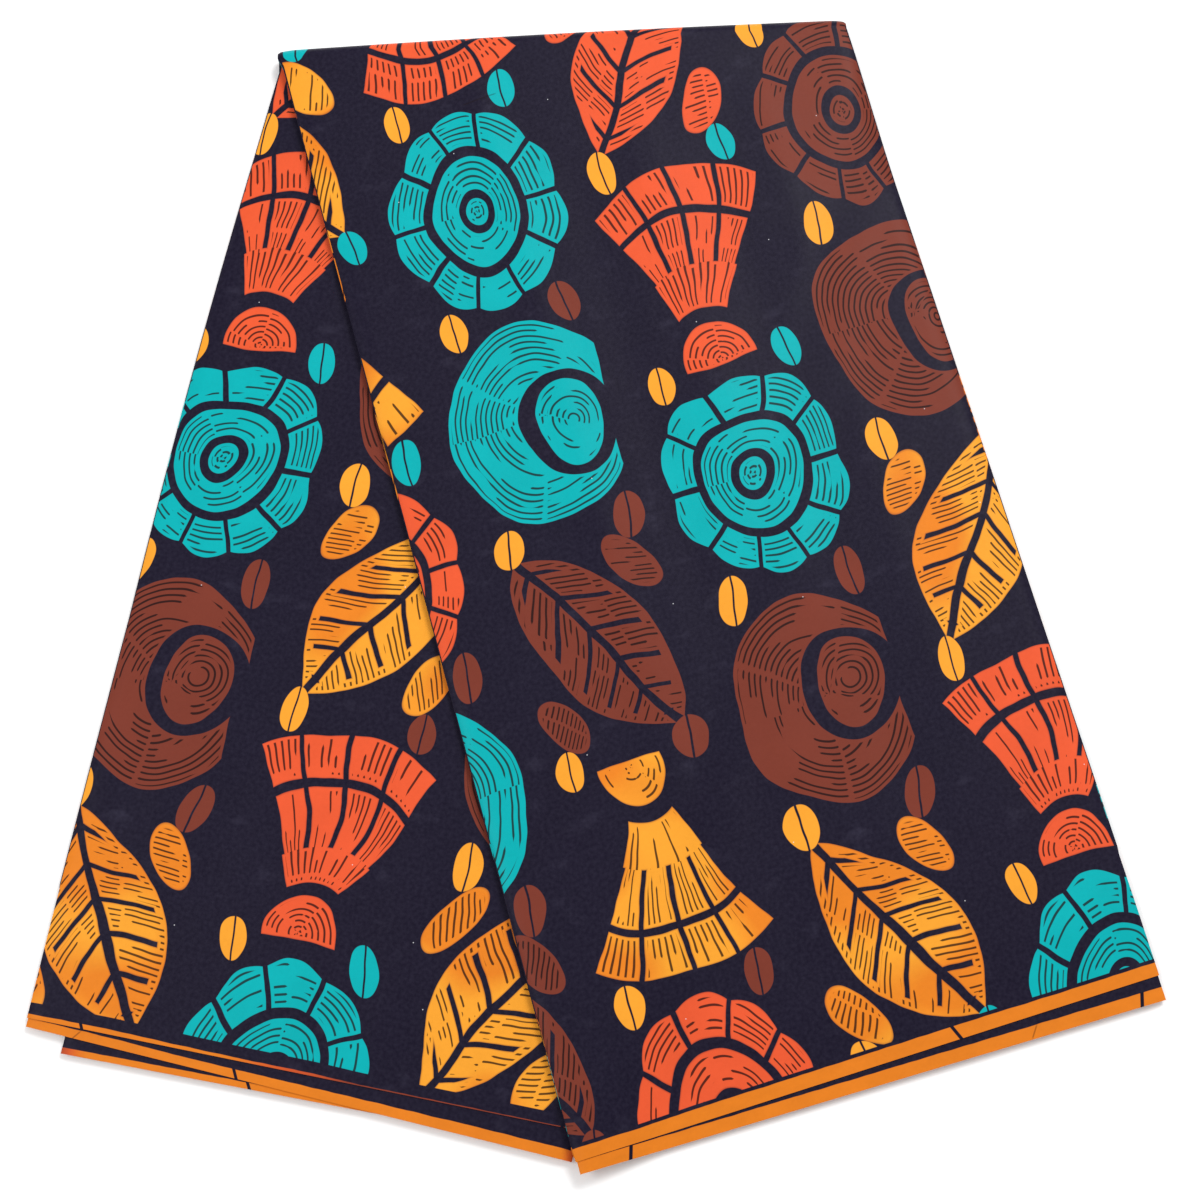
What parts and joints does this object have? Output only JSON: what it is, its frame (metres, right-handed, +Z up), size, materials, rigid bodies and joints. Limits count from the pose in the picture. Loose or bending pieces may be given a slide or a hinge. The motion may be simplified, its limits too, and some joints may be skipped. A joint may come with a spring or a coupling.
{
  "type": "folded wax print fabric",
  "caption": "Folded length of wax print cotton cloth, its strip folded over at the top with two legs swivelled apart, lying flat.",
  "frame": {"origin": "on the surface that the cloth lies on, under the middle of its box", "axes": "+Z up from the surface, +Y towards the top fold, +X towards the side that the front leg runs to"},
  "size_m": [0.5846, 0.6342, 0.0133],
  "materials": {
    "printed_cotton": "smooth plain weave with a faint wax sheen",
    "ply_edges": "folded edges of printed cotton",
    "selvedge_cotton": "plain woven orange selvedge"
  },
  "bodies": {
    "root": {"outer_ply": "printed_cotton", "inner_ply": "printed_cotton", "hidden_layers": "ply_edges", "front_second_ply": "selvedge_cotton", "back_second_ply": "selvedge_cotton", "back_third_ply": "selvedge_cotton"}
  },
  "joints": []
}
